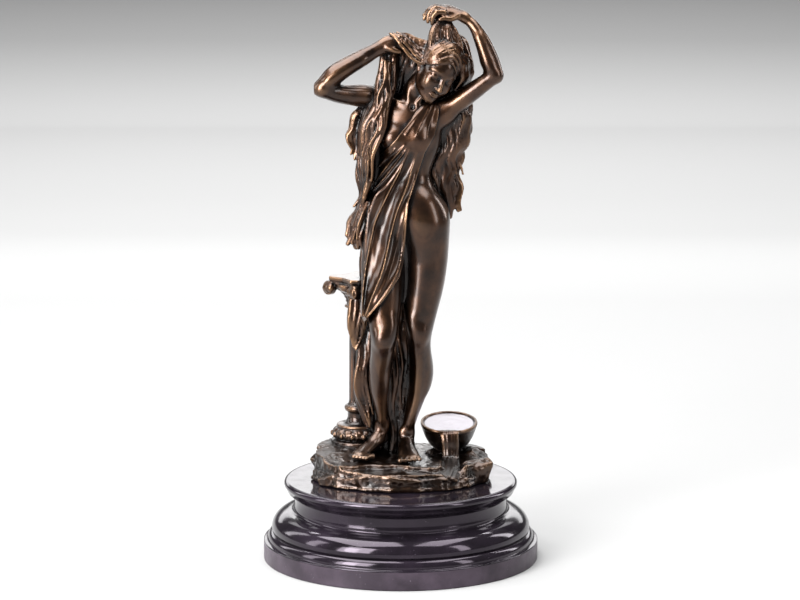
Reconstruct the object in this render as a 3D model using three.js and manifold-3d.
// A cast bronze nymph who lifts her wet hair beside a small Ionic column and a
// spring-fed basin, on a rock, bolted down to a round plinth of black marble.
// Millimetres, +Z up, front towards -Y, origin at the centre of the underside.
import * as THREE from "three";
import { edgeTable, triTable } from "three/addons/objects/MarchingCubes.js";
import { mergeVertices } from "three/addons/utils/BufferGeometryUtils.js";
import Module from "manifold-3d";

const wasm = await Module();
wasm.setup();

// Driving dimensions of the marble plinth
const PLINTH_HEIGHT = 64;
const SLAB_RADIUS = 110;
const SLAB_HEIGHT = 15.5;
const OVOLO_RADIUS = 104.5;
const OVOLO_TOP = 22.5;
const TORUS_RADIUS = 103.4;
const TORUS_LOW = 25.5;
const TORUS_TOP = 38.5;
const NECK_RADIUS = 85.5;
const DISC_LOW = 52;
const DISC_RADIUS = 93.5;
const DISC_EDGE = 3;
const PLINTH_SIDES = 44;

// Driving dimensions of the bronze
const ROCK_HALF_WIDTH = 71;
const ROCK_HALF_DEPTH = 55;
const ROCK_HEIGHT = 18;
const FIGURE_HEIGHT = 361;
const COLUMN_TOP = 143;
const COLUMN_FOOT = 8;
const SHAFT_RADIUS = 8.2;
const FLUTES = 14;
const FLUTE_DEPTH = 1;
const ABACUS_RADIUS = 23;
const ABACUS_HEIGHT = 5.5;
const VOLUTE_RADIUS = 5;
const BASE_LEAVES = 14;
const BASIN_RADIUS = 23;
const BASIN_RIM = 24;
const BASIN_FOOT_RADIUS = 11;
const BASIN_WALL = 2.2;
const WATER_DROP = 1.6;

// Fineness of the modelling grid and of the faceted solid
const CELL = 1.6;
const BRONZE_TRIANGLES = 7950;
const FLAT_TOLERANCE = 0.05;
const EDGE_MARGIN = 0.15; // keeps new corners off the grid points, so that no facet is a sliver

const BRONZE = new THREE.MeshStandardMaterial({ color: 0x5a4330, roughness: 0.35, metalness: 1 });
const MARBLE = new THREE.MeshStandardMaterial({ color: 0x17141a, roughness: 0.12, metalness: 0 });

const ROCK_TOP = PLINTH_HEIGHT + ROCK_HEIGHT;
const DESIGN_HEIGHT = 361; // the figure's points below are written for this height
const GROW = FIGURE_HEIGHT / DESIGN_HEIGHT;
const ROCK_DEPTH = ROCK_HEIGHT / GROW; // in design millimetres

const mix = (a, b, t) => a + (b - a) * t;
const clamp = (v, low, high) => Math.min(Math.max(v, low), high);
const ramp = (low, high, v) => {
  const t = clamp((v - low) / (high - low), 0, 1);
  return t * t * (3 - 2 * t);
};
const chance = (n) => {
  const v = Math.sin(n * 127.1 + 11.7) * 43758.5453;
  return v - Math.floor(v);
};
const smoothMin = (a, b, k) => {
  const h = Math.max(k - Math.abs(a - b), 0) / k;
  return Math.min(a, b) - h * h * k * 0.25;
};

// A block of modelling clay: signed distances to the surface on a regular grid
class Clay {
  constructor(low, high, cell) {
    this.low = low;
    this.cell = cell;
    this.size = low.map((v, i) => Math.ceil((high[i] - v) / cell) + 1);
    this.field = new Float32Array(this.size[0] * this.size[1] * this.size[2]).fill(1e3);
  }
  // Calls change(index, x, y, z) for every grid point inside the box low..high
  visit(low, high, change) {
    const [nx, ny, nz] = this.size;
    const from = low.map((v, i) => Math.max(0, Math.floor((v - this.low[i]) / this.cell)));
    const to = high.map((v, i) => Math.min(this.size[i] - 1, Math.ceil((v - this.low[i]) / this.cell)));
    for (let k = from[2]; k <= to[2]; k++)
      for (let j = from[1]; j <= to[1]; j++)
        for (let i = from[0]; i <= to[0]; i++)
          change(
            i + nx * (j + ny * k),
            this.low[0] + i * this.cell,
            this.low[1] + j * this.cell,
            this.low[2] + k * this.cell,
          );
  }
  add(form, k = 0.8) {
    const reach = k + 2 * this.cell;
    this.visit(form.low.map((v) => v - reach), form.high.map((v) => v + reach), (n, x, y, z) => {
      this.field[n] = smoothMin(this.field[n], form.distance(x, y, z), k);
    });
    return this;
  }
  carve(form, k = 0.8) {
    const reach = k + 2 * this.cell;
    this.visit(form.low.map((v) => v - reach), form.high.map((v) => v + reach), (n, x, y, z) => {
      this.field[n] = -smoothMin(-this.field[n], form.distance(x, y, z), k);
    });
    return this;
  }
  addClay(other, k) {
    for (let n = 0; n < this.field.length; n++)
      this.field[n] = smoothMin(this.field[n], other.field[n], k);
    return this;
  }
}

// Forms: each gives its box and a signed distance
const turned = (yaw, pitch, roll) => {
  const e = new THREE.Euler(pitch, roll, yaw, "ZXY");
  return new THREE.Matrix4().makeRotationFromEuler(e).elements;
};

function egg([cx, cy, cz], [rx, ry, rz], [yaw, pitch, roll] = [0, 0, 0]) {
  const m = turned(yaw, pitch, roll);
  const r = Math.max(rx, ry, rz);
  return {
    low: [cx - r, cy - r, cz - r],
    high: [cx + r, cy + r, cz + r],
    distance(x, y, z) {
      const dx = x - cx, dy = y - cy, dz = z - cz;
      const a = (m[0] * dx + m[1] * dy + m[2] * dz) / rx;
      const b = (m[4] * dx + m[5] * dy + m[6] * dz) / ry;
      const c = (m[8] * dx + m[9] * dy + m[10] * dz) / rz;
      const k0 = Math.hypot(a, b, c);
      const k1 = Math.hypot(a / rx, b / ry, c / rz);
      return k1 < 1e-6 ? -Math.min(rx, ry, rz) : (k0 * (k0 - 1)) / k1;
    },
  };
}

// Smooth curve through knots [x, y, z, ...radii], cut into steps per span
function smoothed(knots, steps = 4) {
  const out = [];
  const last = knots.length - 1;
  for (let i = 0; i < last; i++) {
    const [p0, p1, p2, p3] = [Math.max(i - 1, 0), i, i + 1, Math.min(i + 2, last)].map((n) => knots[n]);
    for (let s = 0; s < steps; s++) {
      const t = s / steps;
      out.push(p1.map((v, n) => {
        const a = 2 * v;
        const b = p2[n] - p0[n];
        const c = 2 * p0[n] - 5 * v + 4 * p2[n] - p3[n];
        const d = -p0[n] + 3 * v - 3 * p2[n] + p3[n];
        return 0.5 * (a + t * (b + t * (c + t * d)));
      }));
    }
  }
  out.push(knots[last].slice());
  return out;
}

function boxOf(knots) {
  const reach = Math.max(...knots.map((k) => Math.max(...k.slice(3))));
  const low = [0, 1, 2].map((i) => Math.min(...knots.map((k) => k[i])) - reach);
  const high = [0, 1, 2].map((i) => Math.max(...knots.map((k) => k[i])) + reach);
  return { low, high };
}

// A limb, neck or lock of hair: knots [x, y, z, radius]
function limb(knots, steps = 4) {
  const path = smoothed(knots, steps);
  return {
    ...boxOf(knots),
    distance(x, y, z) {
      let best = 1e9;
      for (let i = 0; i + 1 < path.length; i++) {
        const [ax, ay, az, ar] = path[i];
        const [bx, by, bz, br] = path[i + 1];
        const ux = bx - ax, uy = by - ay, uz = bz - az;
        const t = clamp(((x - ax) * ux + (y - ay) * uy + (z - az) * uz) / (ux * ux + uy * uy + uz * uz + 1e-9), 0, 1);
        const d = Math.hypot(x - ax - ux * t, y - ay - uy * t, z - az - uz * t) - mix(ar, br, t);
        if (d < best) best = d;
      }
      return best;
    },
  };
}

// A flattened sweep: knots [x, y, z, half width, half thickness]; `facing` is the flat side's normal
function ribbon(knots, facing, steps = 4) {
  const path = smoothed(knots, steps);
  const face = new THREE.Vector3(...facing).normalize();
  const spans = path.slice(1).map((b, i) => {
    const a = path[i];
    const along = new THREE.Vector3(b[0] - a[0], b[1] - a[1], b[2] - a[2]);
    const length = along.length() || 1e-6;
    along.divideScalar(length);
    const flat = face.clone().addScaledVector(along, -face.dot(along)).normalize();
    const side = new THREE.Vector3().crossVectors(along, flat);
    return { a, b, along, flat, side, length };
  });
  return {
    ...boxOf(knots),
    distance(x, y, z) {
      let best = 1e9;
      for (const { a, b, along, flat, side, length } of spans) {
        const dx = x - a[0], dy = y - a[1], dz = z - a[2];
        const h = dx * along.x + dy * along.y + dz * along.z;
        const t = clamp(h / length, 0, 1);
        const w = mix(a[3], b[3], t), f = mix(a[4], b[4], t);
        const p = (dx * side.x + dy * side.y + dz * side.z) / w;
        const q = (dx * flat.x + dy * flat.y + dz * flat.z) / f;
        const over = (h - t * length) / f;
        const k0 = Math.hypot(p, q, over);
        const k1 = Math.hypot(p / w, q / f, over / f);
        const d = k1 < 1e-6 ? -Math.min(w, f) : (k0 * (k0 - 1)) / k1;
        if (d < best) best = d;
      }
      return best;
    },
  };
}

// The figure's pose: joints in design millimetres, z above the rock she stands on.
// Her left is towards +X.
const LEFT_LEG = [
  [20, 3, 188, 17], [21.5, 2, 171, 16.3], [20.5, 0, 155, 15.6], [18, -3, 134, 14.8],
  [15.8, -5.5, 118, 13], [14.6, -6.5, 104, 10.9], [14.6, -5, 92, 9.4], [15.8, -1, 78, 9.3],
  [15.3, 1.5, 64, 8.9], [13.2, 3, 50, 7.4], [9.2, 3, 36, 6.2], [6.2, 3.5, 24, 5.4], [4.8, 4, 15, 5.7],
];
const RIGHT_LEG = [
  [-10.5, 1, 186, 16.5], [-12, -6, 165, 15.6], [-12.5, -12, 145, 14.6], [-13, -17, 125, 13.2],
  [-13.2, -20.5, 110, 11.8], [-13.6, -21.5, 98, 10.3], [-14.6, -18, 87, 9.3], [-15.8, -12, 75, 9.2],
  [-16, -8, 63, 8.5], [-16, -4, 51, 7.2], [-15.2, -1, 40, 5.9], [-14.6, 1, 30, 5.1], [-15, 2.5, 21, 5],
];
const LEFT_ARM = [
  [33, 4, 275, 9.6], [47, -2, 286, 8.1], [60, -7, 296, 7.3], [73, -10, 306, 6.5],
];
const LEFT_FOREARM = [
  [74, -10, 306.5, 6.5], [70, -8.5, 316, 8], [66.8, -7, 325, 7.3], [63, -5.5, 334, 6.3],
  [56.5, -3, 345, 4.8], [48.5, -1, 351.5, 4.2],
];
const RIGHT_ARM = [
  [-14, 6, 284, 10], [-29, 0, 289, 9.4], [-41, -6, 290.5, 8.2], [-51, -11, 292.5, 7.4], [-60, -15, 296, 7],
];
const RIGHT_FOREARM = [
  [-61, -15, 297, 7.1], [-51.5, -14, 307, 8.2], [-41.5, -12, 313.5, 7.7], [-28.8, -9.5, 320.5, 6.9],
  [-18, -7.5, 326, 5.7], [-10.5, -6, 329.5, 5],
];
const TRUNK = [
  [4.5, 2, 192, 29.5, 17.5], [4.5, 2, 206, 26, 16], [3, 2.5, 221, 21, 13.8], [3.5, 3, 234, 21, 14],
  [6, 3.5, 248, 23.5, 15.5], [8, 4, 260, 25, 15.5], [9.5, 4.5, 271, 22, 12.5], [9, 4.5, 280, 13, 9],
];
const NECK = [[8.5, 4, 276, 10.5], [9, 2, 287, 9.2], [13, -1, 297, 9.2], [20, -4, 305, 10]];

// The head's own axes: s to her left, f out of the face, u to the crown
const HEAD = { centre: [28.5, -8, 310], yaw: 20, pitch: 25, roll: -25 };
const headAxes = (() => {
  const rad = THREE.MathUtils.degToRad;
  const s = new THREE.Vector3(1, 0, 0), f = new THREE.Vector3(0, -1, 0), u = new THREE.Vector3(0, 0, 1);
  const turn = (axis, angle) => [s, f, u].forEach((v) => v.applyAxisAngle(axis.clone(), angle));
  turn(new THREE.Vector3(0, 0, 1), rad(HEAD.yaw));
  turn(s.clone(), rad(HEAD.pitch));
  turn(f.clone(), rad(HEAD.roll));
  return { s, f, u };
})();
const inHead = (s, f, u) => {
  const p = new THREE.Vector3(...HEAD.centre)
    .addScaledVector(headAxes.s, s).addScaledVector(headAxes.f, f).addScaledVector(headAxes.u, u);
  return [p.x, p.y, p.z];
};
function headEgg(at, radii) {
  const centre = inHead(...at);
  const { s, f, u } = headAxes;
  const [rs, rf, ru] = radii;
  const r = Math.max(...radii);
  return {
    low: centre.map((v) => v - r),
    high: centre.map((v) => v + r),
    distance(x, y, z) {
      const d = [x - centre[0], y - centre[1], z - centre[2]];
      const a = (d[0] * s.x + d[1] * s.y + d[2] * s.z) / rs;
      const b = (d[0] * f.x + d[1] * f.y + d[2] * f.z) / rf;
      const c = (d[0] * u.x + d[1] * u.y + d[2] * u.z) / ru;
      const k0 = Math.hypot(a, b, c), k1 = Math.hypot(a / rs, b / rf, c / ru);
      return k1 < 1e-6 ? -Math.min(rs, rf, ru) : (k0 * (k0 - 1)) / k1;
    },
  };
}

function bodyForms() {
  const forms = [];
  const put = (form, k) => forms.push({ form, k });
  put(ribbon(TRUNK, [-0.2, -1, 0]), 4);
  put(egg([4.5, 1.5, 193], [31.5, 17.5, 17], [0, 0, -0.12]), 8);
  put(egg([4.5, -5, 201], [18, 12, 17]), 8);
  put(limb(LEFT_LEG), 7);
  put(limb(RIGHT_LEG), 7);
  put(egg([19.5, 11, 184], [15, 13.5, 16]), 6);
  put(egg([-9.5, 10.5, 181], [15, 13.5, 16]), 6);
  put(egg([17.5, 6, 68], [7.5, 7.5, 17]), 5);
  put(egg([-16.5, -1, 67], [7.8, 7.5, 17]), 5);
  put(egg([14.5, -13.5, 101], [5.5, 4.5, 7]), 4);
  put(egg([-13.4, -29.5, 99], [6, 4.5, 7]), 4);
  // Chest, breasts and shoulder girdle
  put(limb([[12, 2, 270, 10], [24, 3, 274, 9.5], [34, 3.5, 276, 9.6]]), 7);
  put(limb([[6, 3, 272, 10], [-6, 5, 279, 9.5], [-16, 6, 285, 10]]), 7);
  put(egg([13.5, -9.5, 254.5], [9.6, 9, 9.4]), 5);
  put(egg([-6, -8.5, 253], [9.6, 9, 9.4]), 5);
  put(limb(NECK), 6);
  put(limb(LEFT_ARM), 5);
  put(limb(LEFT_FOREARM), 3);
  put(limb(RIGHT_ARM), 5);
  put(limb(RIGHT_FOREARM), 3);
  // Hands: palm, then fingers closed on the hair
  put(ribbon([[48.5, -1, 351.5, 4.6, 3.8], [42, -0.5, 353.5, 6, 3.6], [35, 0, 355, 6, 3.2]], [0.2, 0, 1]), 3);
  for (let n = 0; n < 4; n++) {
    const y = -5.5 + n * 3.4;
    put(limb([[35, y, 356, 2.2], [28, y - 0.5, 358.5 - n * 0.4, 2.1], [22.5, y - 1, 354, 1.9], [20.5, y - 0.5, 348.5, 1.6]]), 1.2);
  }
  put(limb([[44, -4.5, 351, 2.6], [37, -6, 347, 2.3], [31.5, -5.5, 343, 1.9]]), 1.5);
  put(ribbon([[-11, -6, 329.5, 5, 4], [-5, -5.5, 331.5, 6.2, 3.6], [1, -5, 331, 6, 3.2]], [0.4, -0.8, 0.5]), 3);
  for (let n = 0; n < 4; n++) {
    const out = -3.5 + n * 3;
    put(limb([[0, -8 + out * 0.3, 332 - out, 2.2], [5, -7 + out * 0.3, 330 - out, 2.1], [6.5, -2, 325.5 - out * 0.6, 1.8]]), 1.2);
  }
  // Feet
  put(limb([[4.5, 9, 5.5, 5.4], [4.8, 5, 9, 5.6], [5, -3, 9.5, 5.6]]), 4);
  put(ribbon([[5, -3, 8.5, 6, 5], [5.8, -12, 6.5, 7.6, 4.6], [6.6, -20, 4.2, 8.8, 3.6], [7, -24, 3, 8.6, 2.8]], [0, -0.4, 1]), 3);
  for (let n = 0; n < 5; n++)
    put(limb([[0.2 + n * 3.5, -22 - (n > 1 ? 0 : n) + n * 0.4, 3, 2.4 - n * 0.08], [-0.4 + n * 3.9, -29.5 + n * 1.2, 2.4, 2.2 - n * 0.12]]), 1.2);
  put(limb([[-14.4, 6.5, 13.5, 4.8], [-16, 3, 15, 5.2], [-20, -2, 13.5, 5.2]]), 4);
  put(ribbon([[-19, -2, 13, 5.4, 4.6], [-25, -9, 9.5, 6.4, 4], [-31, -16, 6.2, 7.2, 3.2], [-34, -20, 5, 6.8, 2.6]], [-0.3, -0.4, 1]), 3);
  for (let n = 0; n < 5; n++)
    put(limb([[-30.5 - 3 + n * 2.6, -21 + 2.6 - n * 1.6 + 1, 5, 2.2], [-35 - 2.4 + n * 2.6, -25 + 2 - n * 1.4 + 1.5, 4, 1.9]]), 1.2);
  // Head: skull, face, jaw, chin, nose
  put(headEgg([0, -3, 4.5], [15.2, 18.2, 17.5]), 4);
  put(headEgg([0, 4.5, -5], [11.8, 12.2, 16.5]), 4);
  put(headEgg([0, 11, -19.5], [4.6, 4.2, 3.8]), 4);
  put(headEgg([0, 17.2, -5.5], [1.9, 3.2, 4.6]), 1.6);
  put(headEgg([0, 14.5, -13], [4.2, 2.4, 2]), 1.6);
  return forms;
}

// Locks of hair: `count` tapering strands laid between two edge curves
function locks(edgeA, edgeB, { count, thick, tip = 0.35, wave = 1.6, seed = 1 }) {
  const forms = [];
  for (let n = 0; n < count; n++) {
    const t = count === 1 ? 0.5 : n / (count - 1);
    const turn = chance(seed + n) * 6.28;
    const reach = edgeA.length - 1;
    const knots = edgeA.map((a, i) => {
      const b = edgeB[i];
      const bend = wave * Math.sin(turn + i * 1.9) * (i === 0 ? 0.2 : 1);
      const lift = wave * 0.6 * Math.cos(turn * 1.7 + i * 1.6);
      const r = thick * mix(1, tip, (i / reach) ** 2) * (0.85 + 0.3 * chance(seed * 3 + n + i));
      return [mix(a[0], b[0], t) + bend, mix(a[1], b[1], t) + lift, mix(a[2], b[2], t), r];
    });
    forms.push(limb(knots, 3));
  }
  return forms;
}

function hairForms() {
  const forms = [];
  const put = (list, k) => list.forEach((form) => forms.push({ form, k }));
  // The cap of hair combed over the skull
  put([headEgg([0.5, -5, 7.5], [17.5, 18.5, 17.2])], 2);
  // Tress lifted to the left hand
  put(locks(
    [[27, -13, 322], [27, -11, 333], [26.5, -8, 342], [28.5, -5, 350], [31, -2, 355]],
    [[45, -8, 322], [42, -6, 334], [38, -5, 343], [36, -3, 350], [35, -1, 353]],
    { count: 5, thick: 4.2, tip: 0.9, wave: 0.8, seed: 4 },
  ), 1.5);
  // Tress drawn out to the right hand
  put(locks(
    [[22, -18, 313], [14, -15, 312], [8, -12, 318], [0, -9, 328], [-4, -7, 333]],
    [[24, -10, 325], [16, -8, 321], [9, -6, 324], [3, -4, 330], [-2, -3, 333]],
    { count: 4, thick: 3.4, tip: 0.9, wave: 0.6, seed: 9 },
  ), 1);
  // Loose locks between the head and the raised left arm
  put(locks(
    [[37, -5, 335], [43, -3, 331], [46, 0, 318], [46, 2, 303], [45, 7, 284]],
    [[42, 1, 335], [51, 2, 328], [53.5, 3, 315], [52.5, 5, 302], [49.5, 9, 282]],
    { count: 4, thick: 4.2, tip: 0.9, wave: 0.8, seed: 21 },
  ), 1.5);
  // Fall from the right hand down behind the arm, then forward over the chest
  put(locks(
    [[-14, -2, 327], [-15, -2, 312], [-17, -4, 296], [-21, -7, 280], [-24, -10, 264], [-22, -11, 246]],
    [[-2, -3, 327], [-1, -4, 308], [-2, -8, 292], [-7, -12, 277], [-14, -14, 262], [-15, -14, 244]],
    { count: 6, thick: 3.9, tip: 0.6, wave: 1.5, seed: 2 },
  ), 1);
  // Loose locks outside it, ending in a curl below the arm
  put(locks(
    [[-24, 2, 292], [-31, 1, 278], [-38, 1, 265], [-40, 1, 250], [-37, 1, 242]],
    [[-16, 6, 292], [-24, 8, 275], [-30, 8, 262], [-32, 7, 248], [-30, 6, 238]],
    { count: 4, thick: 3.8, tip: 0.8, wave: 1.4, seed: 6 },
  ), 1);
  // Long fall along the right flank to a bunch at the thigh
  put(locks(
    [[-30, 2, 242], [-28, 3, 228], [-27, 2, 215], [-33, -1, 202], [-38, -3, 188], [-40, -3, 172]],
    [[-16, -4, 244], [-18, -4, 228], [-20, -4, 214], [-24, -8, 200], [-27, -10, 184], [-30, -9, 165]],
    { count: 6, thick: 3.8, tip: 0.9, wave: 1.5, seed: 3 },
  ), 1);
  // Hair down the back and the left flank
  put(locks(
    [[-16, 12, 300], [-20, 19, 275], [-22, 21, 250], [-23, 19, 225], [-26, 17, 200], [-30, 13, 172]],
    [[44, 5, 300], [47, 12, 272], [42, 15, 250], [37, 15, 225], [41, 14, 207], [35, 12, 182]],
    { count: 12, thick: 7, tip: 0.6, wave: 1.8, seed: 7 },
  ), 1.5);
  put(locks(
    [[10, 8, 318], [4, 14, 300], [-4, 18, 280]],
    [[42, 3, 320], [43, 7, 300], [46, 11, 280]],
    { count: 7, thick: 7, tip: 0.9, wave: 1, seed: 8 },
  ), 2);
  return forms;
}

// Signed distance to a closed outline in the plane, negative inside
function outlineDistance(points, u, v) {
  let best = 1e9, inside = false;
  for (let i = 0, j = points.length - 1; i < points.length; j = i++) {
    const [ax, ay] = points[i], [bx, by] = points[j];
    const ex = bx - ax, ey = by - ay;
    const t = clamp(((u - ax) * ex + (v - ay) * ey) / (ex * ex + ey * ey), 0, 1);
    best = Math.min(best, Math.hypot(u - ax - ex * t, v - ay - ey * t));
    if (ay > v !== by > v && u < (ex * (v - ay)) / ey + ax) inside = !inside;
  }
  return inside ? -best : best;
}

// The cloth, seen from the front: x and z in design millimetres
const CLOTH_OUTLINE = [
  [24, 284], [30, 266], [24, 252], [16, 242], [9, 217], [5.6, 208], [4.8, 193], [3.2, 176],
  [1.6, 160], [-1.6, 150], [-7.3, 142], [-15.5, 131], [-23.4, 123], [-29, 114], [-31, 121],
  [-30.5, 163], [-27, 190], [-23, 219], [-18, 245], [-11, 241], [-3, 251], [8, 262], [14, 276],
];
const CLOTH_THICKNESS = 1.7;
const CLOTH_FOLDS = [
  [[20, 272], [11, 255], [4, 243], [-9, 216], [-19, 195], [-22, 182], [-27, 158]],
  [[24, 268], [15, 248], [5, 220], [-3, 201], [-8, 182], [-14, 156], [-23, 135], [-28, 120]],
  [[17, 246], [9, 217], [5, 201], [3.5, 178], [1, 160], [-7, 144], [-18, 129], [-28, 117]],
  [[6, 252], [-4, 236], [-13, 219], [-22, 204], [-28, 190]],
  [[-2, 250], [-12, 236], [-21, 222]],
  [[-29, 164], [-30, 150], [-30, 134], [-30, 118]],
];
const FOLD_RADIUS = 2.7;

// The y of the clay's foremost surface at x, z
function frontOf(clay, x, z) {
  const { low, cell, size: [nx, ny], field } = clay;
  const i = Math.round((x - low[0]) / cell);
  const k = Math.round((z - low[2]) / cell);
  for (let j = 1; j < ny; j++) {
    const here = field[i + nx * (j + ny * k)];
    const before = field[i + nx * (j - 1 + ny * k)];
    if (here < 0) return low[1] + cell * (j - here / (here - before));
  }
  return 0;
}

function clothForms(under) {
  const folds = CLOTH_FOLDS.map((line) => smoothed(line, 3).map(([x, z], n, all) => {
    const swell = FOLD_RADIUS * (0.75 + 0.5 * Math.sin((n / (all.length - 1)) * Math.PI));
    return [x, frontOf(under, x, z) - CLOTH_THICKNESS, z, swell];
  }));
  return folds.map((knots) => limb(knots, 1));
}

function figureClay(low, high, cell) {
  const body = new Clay(low, high, cell);
  const under = new Clay(low, high, cell);
  bodyForms().forEach(({ form, k }) => body.add(form, k));
  // A fuller form that bridges the legs, for the cloth to hang over
  const bridges = [
    limb(LEFT_LEG.slice(0, 8)),
    limb(RIGHT_LEG.slice(0, 8)),
    ribbon(TRUNK, [-0.2, -1, 0]),
    egg([4.5, 1.5, 193], [31.5, 17.5, 17]),
    egg([13.5, -9.5, 254.5], [9.6, 9, 9.4]),
    egg([-6, -8.5, 253], [9.6, 9, 9.4]),
    limb([[12, 2, 270, 10], [34, 3.5, 276, 9.6]]),
  ];
  bridges.forEach((form) => under.add(form, 14));
  body.visit(low, high, (n, x, y, z) => {
    const edge = outlineDistance(CLOTH_OUTLINE, x, z);
    const sheet = -smoothMin(CLOTH_THICKNESS - under.field[n], -edge, 2);
    body.field[n] = smoothMin(body.field[n], Math.max(sheet, y - 4), 0.8);
  });
  clothForms(under).forEach((form) => body.add(form, 1.6));
  hairForms().forEach(({ form, k }) => body.add(form, k));
  hangingForms().forEach((form) => body.add(form, 1.5));
  return body;
}

// Cloth that falls behind the legs and over the column's side down to the rock
function hangingForms() {
  return [
    ...locks(
      [[-30, 6, 176], [-31, 8, 140], [-31, 9, 100], [-31, 8, 60], [-30, 7, 30], [-26, 4, 8]],
      [[-14, 12, 176], [-14, 13, 140], [-16, 12, 100], [-18, 10, 60], [-20, 8, 30], [-18, 6, 8]],
      { count: 5, thick: 3.4, tip: 1, wave: 1, seed: 12 },
    ),
    ...locks(
      [[-14, 14, 170], [-14, 15, 120], [-12, 15, 60], [-8, 13, 20], [-8, 13, 0]],
      [[16, 13, 170], [10, 14, 120], [3, 13, 60], [1, 14, 20], [1, 14, 0]],
      { count: 6, thick: 3.4, tip: 1, wave: 1.2, seed: 15 },
    ),
    // The end with a tassel, on the front of the shaft
    ...locks(
      [[-38, 8, 150], [-39, 8, 120], [-38, 8, 95], [-37, 7, 76]],
      [[-30, 8, 150], [-31, 8, 120], [-35, 8, 95], [-36, 7, 74]],
      { count: 3, thick: 2.8, tip: 0.6, wave: 0.6, seed: 18 },
    ),
  ];
}

// Rock: a low irregular mound in ledges, rising to the back left under the column
function rockForm() {
  const height = (x, y) => {
    const rise = 9 * ramp(4, -44, x) * ramp(-34, 16, y);
    const swell = 0.9 * Math.sin(x * 0.13 + 1) * Math.cos(y * 0.15);
    const brook = 5 * ramp(11, 3, Math.abs(x - 42)) * ramp(2, -14, y);
    const ledge = 3.5 * ramp(-34, -42, y + 4 * Math.sin(x * 0.09));
    return rise + swell - brook - ledge - 0.5;
  };
  return {
    low: [-ROCK_HALF_WIDTH - 6, -ROCK_HALF_DEPTH - 6, -ROCK_DEPTH - 3],
    high: [ROCK_HALF_WIDTH + 6, ROCK_HALF_DEPTH + 6, 12],
    distance(x, y, z) {
      const turn = Math.atan2(y / ROCK_HALF_DEPTH, x / ROCK_HALF_WIDTH);
      const crag = 0.025 * Math.sin(turn * 7 + 1.3) + 0.02 * Math.sin(turn * 13 + z * 0.25);
      const ledges = 0.03 * Math.sin(z * 0.5 + turn * 2);
      const r = Math.hypot(x / ROCK_HALF_WIDTH, y / ROCK_HALF_DEPTH) + crag + ledges;
      return Math.max((r - 1) * ROCK_HALF_DEPTH, z - height(x, y), -ROCK_DEPTH - 1.5 - z);
    },
  };
}

// Turned form about a vertical axis: profile [radius, height] pairs, closed on the axis
function turnedForm([cx, cy, cz], profile, dent = () => 0) {
  const outline = [[0, profile[0][1]], ...profile, [0, profile.at(-1)[1]]];
  const mirrored = [...profile, ...profile.slice().reverse().map(([r, h]) => [-r, h])];
  const reach = Math.max(...outline.map(([r]) => r)) + 2;
  return {
    low: [cx - reach, cy - reach, cz + profile[0][1]],
    high: [cx + reach, cy + reach, cz + profile.at(-1)[1]],
    distance(x, y, z) {
      const r = Math.hypot(x - cx, y - cy);
      return outlineDistance(mirrored, r, z - cz) + dent(Math.atan2(y - cy, x - cx), z - cz, r);
    },
  };
}

const COLUMN_AT = [-34, 18];
const COLUMN_TURN = THREE.MathUtils.degToRad(-5);

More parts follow.
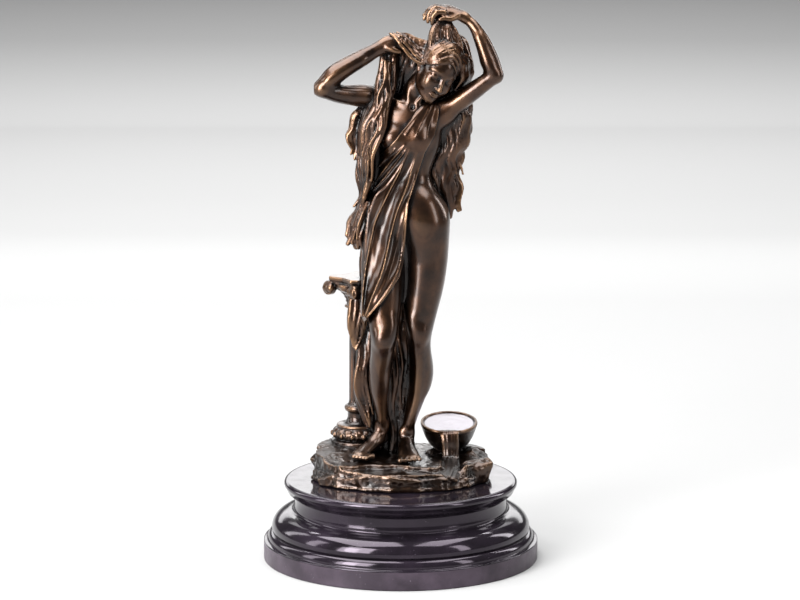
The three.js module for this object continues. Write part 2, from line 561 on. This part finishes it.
function columnForms() {
  const s = SHAFT_RADIUS;
  const foot = COLUMN_FOOT;
  const top = COLUMN_TOP - ABACUS_HEIGHT;
  const shaftLow = foot + 31;
  const neck = top - 21;
  const ring = (radius, low, high) => [
    [radius - 1, low], [radius, low + 1], [radius, high - 1], [radius - 1, high],
  ];
  // Plate, leafed torus, fillet, flared drum, bead, shaft, neck ring and bell
  const shaft = turnedForm([...COLUMN_AT, 0], [
    ...ring(s * 2.7, foot - 8, foot + 2.5),
    [s * 2.45, foot + 3], [s * 2.6, foot + 6], [s * 2.5, foot + 9], [s * 2.25, foot + 12],
    ...ring(s * 2.15, foot + 12.5, foot + 15),
    [s * 1.4, foot + 15.5], [s * 1.1, foot + 19], [s * 1.05, foot + 24],
    ...ring(s * 1.38, foot + 25, foot + 30.5),
    [s, shaftLow], [s * 0.95, neck],
    ...ring(s * 1.35, neck + 1, neck + 4),
    [s * 1.1, neck + 5], [s * 1.25, neck + 10], [s * 1.9, neck + 16], [s * 2.3, top],
  ], (turn, z) => {
    const onShaft = ramp(shaftLow, shaftLow + 4, z) * ramp(neck, neck - 4, z);
    const onTorus = ramp(foot + 3, foot + 5, z) * ramp(foot + 13, foot + 10, z);
    const onBell = ramp(neck + 5, neck + 8, z);
    return onShaft * FLUTE_DEPTH * (0.5 + 0.5 * Math.cos(turn * FLUTES)) ** 2
      + onTorus * 1.2 * Math.abs(Math.sin((turn * BASE_LEAVES) / 2))
      + onBell * 1.2 * Math.cos(turn * 8) ** 2;
  });
  const [cx, cy] = COLUMN_AT;
  // Abacus: four hollow sides between cut corners
  const abacus = {
    low: [cx - ABACUS_RADIUS * 1.2, cy - ABACUS_RADIUS * 1.2, top - 1],
    high: [cx + ABACUS_RADIUS * 1.2, cy + ABACUS_RADIUS * 1.2, COLUMN_TOP + 1],
    distance(x, y, z) {
      const turn = Math.atan2(y - cy, x - cx) - COLUMN_TURN;
      const r = Math.hypot(x - cx, y - cy);
      const u = r * Math.cos(turn);
      const v = r * Math.sin(turn);
      const corner = Math.max(Math.abs(u), Math.abs(v)) - ABACUS_RADIUS;
      const along = Math.abs(Math.abs(u) - Math.abs(v)) / ABACUS_RADIUS;
      const side = (Math.abs(u) + Math.abs(v)) * Math.SQRT1_2 - ABACUS_RADIUS * mix(0.7, 0.86, along);
      const slab = Math.abs(z - (top + COLUMN_TOP) / 2) - ABACUS_HEIGHT / 2;
      return Math.max(corner, side, slab);
    },
  };
  // A pair of scrolls under each corner, meeting at the corner's line
  const scrolls = [0, 1, 2, 3].flatMap((n) => {
    const out = COLUMN_TURN + (n * Math.PI) / 2;
    const r = ABACUS_RADIUS + 1;
    const at = (lead, reach) => [
      cx + r * Math.cos(out) + reach * Math.cos(out + lead),
      cy + r * Math.sin(out) + reach * Math.sin(out + lead),
    ];
    return [-1, 1].map((side) => limb([
      [...at(side * 2.2, 4.5), top - 4.5, VOLUTE_RADIUS * 0.95],
      [...at(0, 0), top - 3.5, VOLUTE_RADIUS],
    ], 1));
  });
  return [shaft, abacus, ...scrolls];
}

const BASIN_AT = [39, 20];
const BASIN_TILT = THREE.MathUtils.degToRad(10);

function basinForms() {
  const [cx, cy] = BASIN_AT;
  const c = Math.cos(BASIN_TILT);
  const n = Math.sin(BASIN_TILT);
  const r = BASIN_RADIUS;
  // Heights from the rim; the flat top inside the wall is the cast water
  const bowl = turnedForm([0, 0, 0], [
    [BASIN_FOOT_RADIUS, -r], [r * 0.72, -r * 0.62], [r * 0.92, -r * 0.3], [r, -1], [r, 0],
    [r - BASIN_WALL, 0], [r - BASIN_WALL - 0.6, -WATER_DROP],
  ]);
  const tilted = {
    low: [cx - r - 4, cy - r - 4, -4],
    high: [cx + r + 4, cy + r + 4, BASIN_RIM + 8],
    distance(x, y, z) {
      const dy = y - cy;
      const dz = z - BASIN_RIM;
      return bowl.distance(x - cx, dy * c + dz * n, -dy * n + dz * c);
    },
  };
  // Water spilling over the front lip, down to the rock and away to the front
  const lip = cy - r;
  const spill = ribbon([
    [cx, lip + 5, BASIN_RIM - 4.6, 5.6, 1.6], [cx, lip, BASIN_RIM - 5.4, 5.6, 1.8],
    [cx + 0.4, lip - 2, BASIN_RIM - 10, 5, 2.2], [cx + 0.8, lip - 3, 4, 5.4, 2.6],
    [cx + 1.5, lip - 8, -2, 6.4, 2.4], [cx + 3, lip - 30, -6, 7, 2.2],
  ], [0, -1, 0.5]);
  const boulders = [
    egg([57, 3, -4], [11, 13, 12], [0.4, 0.2, 0.2]),
    egg([54, 30, -4], [12, 13, 9]),
    egg([25, 13, -2], [9, 11, 6]),
    egg([39, 22, -3], [15, 15, 7]),
  ];
  return [tilted, spill, ...boulders];
}

// Marching cubes over the clay, vertices shared between cells
function skin(clay) {
  const { size: [nx, ny, nz], field, low, cell } = clay;
  const at = (i, j, k) => i + nx * (j + ny * k);
  const corner = [[0, 0, 0], [1, 0, 0], [0, 1, 0], [1, 1, 0], [0, 0, 1], [1, 0, 1], [0, 1, 1], [1, 1, 1]];
  const edges = [[0, 1], [1, 3], [2, 3], [0, 2], [4, 5], [5, 7], [6, 7], [4, 6], [0, 4], [1, 5], [3, 7], [2, 6]];
  const order = [0, 1, 3, 2, 4, 5, 7, 6]; // bits of the case index
  const points = [], faces = [], known = new Map();
  for (let k = 0; k < nz - 1; k++)
    for (let j = 0; j < ny - 1; j++)
      for (let i = 0; i < nx - 1; i++) {
        const value = corner.map(([a, b, c]) => {
          const v = field[at(i + a, j + b, k + c)];
          return Math.abs(v) < 1e-3 ? 1e-3 : v;
        });
        let bits = 0;
        order.forEach((n, b) => { if (value[n] > 0) bits |= 1 << b; });
        if (!edgeTable[bits]) continue;
        const vertex = (e) => {
          const [p, q] = edges[e];
          const P = corner[p], Q = corner[q];
          const axis = [0, 1, 2].find((n) => P[n] !== Q[n]);
          const key = at(i + P[0], j + P[1], k + P[2]) * 3 + axis;
          if (!known.has(key)) {
            const t = clamp(value[p] / (value[p] - value[q]), EDGE_MARGIN, 1 - EDGE_MARGIN);
            known.set(key, points.length / 3);
            for (let n = 0; n < 3; n++)
              points.push(low[n] + cell * ([i, j, k][n] + mix(P[n], Q[n], t)));
          }
          return known.get(key);
        };
        for (let n = bits * 16; triTable[n] !== -1; n += 3)
          faces.push(vertex(triTable[n]), vertex(triTable[n + 1]), vertex(triTable[n + 2]));
      }
  return { points, faces };
}

// How closely the facets follow the form: most on the figure's front, least on the rock
const careAt = (y, z) => (z < 3 ? 0.6 : 1) * (y < 2 ? 3 : 1) * (z > 280 ? 1.6 : 1);

// Edge collapse by quadric error, down to a number of triangles
function simplify({ points, faces }, target) {
  const count = points.length / 3;
  const quadric = new Float64Array(count * 10);
  const around = Array.from({ length: count }, () => new Set());
  const alive = new Uint8Array(faces.length / 3).fill(1);
  const P = Float64Array.from(points), T = Int32Array.from(faces);
  const normal = (a, b, c) => {
    const ux = P[b * 3] - P[a * 3], uy = P[b * 3 + 1] - P[a * 3 + 1], uz = P[b * 3 + 2] - P[a * 3 + 2];
    const vx = P[c * 3] - P[a * 3], vy = P[c * 3 + 1] - P[a * 3 + 1], vz = P[c * 3 + 2] - P[a * 3 + 2];
    return [uy * vz - uz * vy, uz * vx - ux * vz, ux * vy - uy * vx];
  };
  for (let t = 0; t < alive.length; t++) {
    const v = [T[t * 3], T[t * 3 + 1], T[t * 3 + 2]];
    let [a, b, c] = normal(...v);
    const length = Math.hypot(a, b, c) || 1e-12;
    [a, b, c] = [a / length, b / length, c / length];
    const d = -(a * P[v[0] * 3] + b * P[v[0] * 3 + 1] + c * P[v[0] * 3 + 2]);
    const q = [a * a, a * b, a * c, a * d, b * b, b * c, b * d, c * c, c * d, d * d];
    const weight = length * careAt(P[v[0] * 3 + 1], P[v[0] * 3 + 2]);
    v.forEach((n) => {
      around[n].add(t);
      q.forEach((value, i) => { quadric[n * 10 + i] += value * weight; });
    });
  }
  const errorAt = (u, v, x, y, z) => {
    const q = (i) => quadric[u * 10 + i] + quadric[v * 10 + i];
    return q(0) * x * x + 2 * q(1) * x * y + 2 * q(2) * x * z + 2 * q(3) * x + q(4) * y * y
      + 2 * q(5) * y * z + 2 * q(6) * y + q(7) * z * z + 2 * q(8) * z + q(9);
  };
  const bestPlace = (u, v) => {
    const q = (i) => quadric[u * 10 + i] + quadric[v * 10 + i];
    const mid = [0, 1, 2].map((n) => (P[u * 3 + n] + P[v * 3 + n]) / 2);
    const length = Math.hypot(P[u * 3] - P[v * 3], P[u * 3 + 1] - P[v * 3 + 1], P[u * 3 + 2] - P[v * 3 + 2]);
    const m = new THREE.Matrix3().set(q(0), q(1), q(2), q(1), q(4), q(5), q(2), q(5), q(7));
    let place = mid, error = errorAt(u, v, ...mid);
    const scale = q(0) + q(4) + q(7);
    if (Math.abs(m.determinant()) > 1e-4 * scale ** 3) {
      const w = new THREE.Vector3(-q(3), -q(6), -q(8)).applyMatrix3(m.invert());
      if (Math.hypot(w.x - mid[0], w.y - mid[1], w.z - mid[2]) < length * 1.5) {
        place = [w.x, w.y, w.z];
        error = errorAt(u, v, ...place);
      }
    }
    return { place, cost: Math.max(error, 0) + 1e-3 * length * length };
  };
  // A binary heap of possible collapses
  const heap = [];
  const stamp = new Int32Array(count);
  const push = (item) => {
    let i = heap.push(item) - 1;
    while (i > 0 && heap[(i - 1) >> 1].cost > heap[i].cost) {
      [heap[i], heap[(i - 1) >> 1]] = [heap[(i - 1) >> 1], heap[i]];
      i = (i - 1) >> 1;
    }
  };
  const pop = () => {
    const top = heap[0], end = heap.pop();
    if (heap.length) {
      heap[0] = end;
      for (let i = 0, j; (j = 2 * i + 1) < heap.length; i = j) {
        if (j + 1 < heap.length && heap[j + 1].cost < heap[j].cost) j++;
        if (heap[i].cost <= heap[j].cost) break;
        [heap[i], heap[j]] = [heap[j], heap[i]];
      }
    }
    return top;
  };
  const neighbours = (u) => {
    const out = new Set();
    around[u].forEach((t) => { for (let n = 0; n < 3; n++) if (T[t * 3 + n] !== u) out.add(T[t * 3 + n]); });
    return out;
  };
  const offer = (u, v) => push({ u, v, su: stamp[u], sv: stamp[v], ...bestPlace(u, v) });
  for (let u = 0; u < count; u++) neighbours(u).forEach((v) => { if (u < v) offer(u, v); });
  // A triangle's doubled area over its longest side squared
  const shapeOf = (a, b, c) => {
    const side = (i, j) => Math.hypot(P[i * 3] - P[j * 3], P[i * 3 + 1] - P[j * 3 + 1], P[i * 3 + 2] - P[j * 3 + 2]);
    return Math.hypot(...normal(a, b, c)) / Math.max(side(a, b), side(b, c), side(c, a)) ** 2;
  };
  // Whether moving u to a place folds over or squeezes a triangle that doesn't hold v
  const spoils = (u, v, place) => {
    const old = [P[u * 3], P[u * 3 + 1], P[u * 3 + 2]];
    for (const t of around[u]) {
      const tri = [T[t * 3], T[t * 3 + 1], T[t * 3 + 2]];
      if (tri.includes(v)) continue;
      const before = normal(...tri);
      const shapeBefore = shapeOf(...tri);
      [P[u * 3], P[u * 3 + 1], P[u * 3 + 2]] = place;
      const after = normal(...tri);
      const shapeAfter = shapeOf(...tri);
      [P[u * 3], P[u * 3 + 1], P[u * 3 + 2]] = old;
      const size = Math.hypot(...before);
      const dot = before[0] * after[0] + before[1] * after[1] + before[2] * after[2];
      if (dot < 0.2 * size * Math.hypot(...after)) return true;
      if (shapeAfter < 0.12 && shapeAfter < shapeBefore) return true;
    }
    return false;
  };
  let left = alive.length;
  while (left > target && heap.length) {
    const { u, v, su, sv, place } = pop();
    if (stamp[u] !== su || stamp[v] !== sv) continue;
    const ring = neighbours(v);
    const shared = [...neighbours(u)].filter((n) => ring.has(n));
    if (shared.length !== 2 || spoils(u, v, place) || spoils(v, u, place)) continue;
    [P[u * 3], P[u * 3 + 1], P[u * 3 + 2]] = place;
    for (let i = 0; i < 10; i++) quadric[u * 10 + i] += quadric[v * 10 + i];
    for (const t of [...around[v]]) {
      const tri = [T[t * 3], T[t * 3 + 1], T[t * 3 + 2]];
      if (tri.includes(u)) {
        alive[t] = 0;
        left--;
        tri.forEach((n) => around[n].delete(t));
      } else {
        T[t * 3 + tri.indexOf(v)] = u;
        around[u].add(t);
      }
    }
    around[v].clear();
    stamp[u]++;
    stamp[v]++;
    neighbours(u).forEach((n) => { stamp[n]++; });
    const touched = neighbours(u);
    touched.forEach((n) => {
      offer(u, n);
      neighbours(n).forEach((m) => { if (m !== u && (!touched.has(m) || n < m)) offer(n, m); });
    });
  }
  const kept = [];
  alive.forEach((on, t) => { if (on) kept.push(T[t * 3], T[t * 3 + 1], T[t * 3 + 2]); });
  return { points: P, faces: kept };
}

function solidFrom(geometry) {
  const bare = new THREE.BufferGeometry().setAttribute("position", geometry.getAttribute("position"));
  if (geometry.index) bare.setIndex(geometry.index);
  const merged = mergeVertices(bare, 1e-4);
  return new wasm.Manifold(new wasm.Mesh({
    numProp: 3,
    vertProperties: merged.attributes.position.array,
    triVerts: Uint32Array.from(merged.index.array),
  }));
}

// Points on a quarter or half ellipse, angles in turns of 90 degrees
function arc(radius, height, a, b, from, to, steps) {
  return Array.from({ length: steps + 1 }, (_, n) => {
    const t = (mix(from, to, n / steps) * Math.PI) / 2;
    return [radius + a * Math.cos(t), height + b * Math.sin(t)];
  });
}

// The marble plinth: slab, ovolo, half torus, neck and a disc with a round edge
function plinth() {
  const profile = [
    [0, 0],
    [SLAB_RADIUS, 0],
    [SLAB_RADIUS, SLAB_HEIGHT - 0.7],
    [SLAB_RADIUS - 0.7, SLAB_HEIGHT],
    ...arc(OVOLO_RADIUS, SLAB_HEIGHT + 1, SLAB_RADIUS - 1 - OVOLO_RADIUS, OVOLO_TOP - SLAB_HEIGHT - 1, 0, 1, 2),
    [TORUS_RADIUS - 1, OVOLO_TOP + 0.6],
    ...arc(NECK_RADIUS + 2, TORUS_LOW, TORUS_RADIUS - NECK_RADIUS - 2, TORUS_TOP - TORUS_LOW, 0, 1, 5),
    [NECK_RADIUS, TORUS_TOP + 2],
    [NECK_RADIUS - 0.8, (TORUS_TOP + DISC_LOW) / 2],
    [NECK_RADIUS, DISC_LOW],
    [DISC_RADIUS - 3, DISC_LOW + 2.5],
    ...arc(DISC_RADIUS - DISC_EDGE, PLINTH_HEIGHT - DISC_EDGE, DISC_EDGE, DISC_EDGE, -0.6, 1, 3),
    [0, PLINTH_HEIGHT],
  ];
  const points = profile.map(([r, z]) => new THREE.Vector2(r, z));
  return new THREE.LatheGeometry(points, PLINTH_SIDES).rotateX(Math.PI / 2);
}

function bronze() {
  const low = [-80, -62, -ROCK_DEPTH - 6];
  const high = [86, 66, DESIGN_HEIGHT + 8];
  const clay = figureClay(low, high, CELL);
  columnForms().forEach((form) => clay.add(form, 1));
  basinForms().forEach((form) => clay.add(form, 1.5));
  clay.add(rockForm(), 1.5);
  const fine = skin(clay);
  const modelled = new THREE.BufferGeometry()
    .setAttribute("position", new THREE.BufferAttribute(Float32Array.from(fine.points), 3));
  modelled.setIndex(fine.faces);
  // Sawn flat where it meets the marble
  const saw = new THREE.BoxGeometry(400, 400, 60).translate(0, 0, -ROCK_DEPTH - 30);
  const bodies = solidFrom(modelled).subtract(solidFrom(saw)).decompose();
  const cast = bodies.sort((a, b) => b.volume() - a.volume())[0].getMesh();
  const { points, faces } = simplify({ points: cast.vertProperties, faces: cast.triVerts }, BRONZE_TRIANGLES);
  for (let n = 2; n < points.length; n += 3)
    if (Math.abs(points[n] + ROCK_DEPTH) < FLAT_TOLERANCE) points[n] = -ROCK_DEPTH;
  const geometry = new THREE.BufferGeometry()
    .setAttribute("position", new THREE.BufferAttribute(Float32Array.from(points), 3));
  geometry.setIndex(faces);
  return geometry.scale(GROW, GROW, GROW).translate(0, 0, ROCK_TOP);
}

const statue = new THREE.Group();
const plinthMesh = new THREE.Mesh(plinth(), MARBLE);
plinthMesh.name = "marble_plinth";
const bronzeMesh = new THREE.Mesh(bronze(), BRONZE);
bronzeMesh.name = "bronze_nymph";
statue.add(plinthMesh, bronzeMesh);

export default statue;
